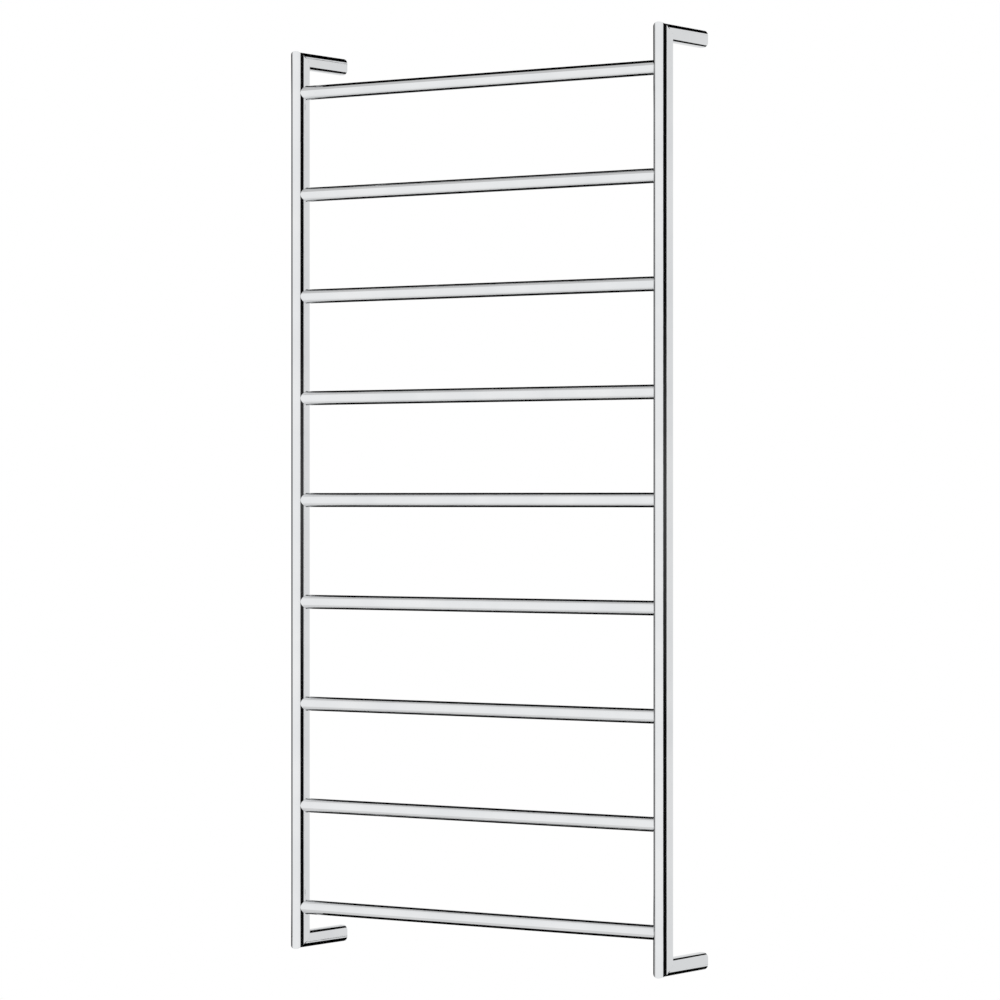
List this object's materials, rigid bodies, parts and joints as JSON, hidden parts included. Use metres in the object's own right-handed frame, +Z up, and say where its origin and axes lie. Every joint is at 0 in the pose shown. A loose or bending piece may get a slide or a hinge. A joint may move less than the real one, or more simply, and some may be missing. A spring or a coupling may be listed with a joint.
{
  "type": "heated towel rack",
  "caption": "Wall-hung heated towel ladder: round chrome uprights and evenly pitched cross bars, carried off the wall by mitred arms at its corners.",
  "frame": {"origin": "on the wall surface, midway between the four arms", "axes": "+X to the right along the bars, +Y square into the wall, +Z up along the uprights"},
  "size_m": [0.6, 0.1055, 1.2],
  "materials": {
    "chrome": "polished",
    "bracket_zinc": "satin zinc plate",
    "screw_steel": "satin",
    "bush_rubber": "matte",
    "splice_rubber": "satin",
    "cable_silicone": "matte"
  },
  "bodies": {
    "root": {"upright_left": "chrome", "upright_right": "chrome", "bar_1": "chrome", "bar_2": "chrome", "bar_3": "chrome", "bar_4": "chrome", "bar_5": "chrome", "bar_6": "chrome", "bar_7": "chrome", "bar_8": "chrome", "bar_9": "chrome", "arm_upper_left": "chrome", "mitre_plate_upper_left": "chrome", "wall_bracket_upper_left": "bracket_zinc", "grub_screw_upper_left": "screw_steel", "arm_upper_right": "chrome", "mitre_plate_upper_right": "chrome", "wall_bracket_upper_right": "bracket_zinc", "grub_screw_upper_right": "screw_steel", "arm_lower_left": "chrome", "mitre_plate_lower_left": "chrome", "wall_bracket_lower_left": "bracket_zinc", "grub_screw_lower_left": "screw_steel", "arm_lower_right": "chrome", "mitre_plate_lower_right": "chrome", "wall_bracket_lower_right": "bracket_zinc", "grub_screw_lower_right": "screw_steel", "inlet_bush": "bush_rubber", "cable_splice": "splice_rubber", "heating_cable": "cable_silicone", "end_seal": "splice_rubber"}
  },
  "joints": []
}
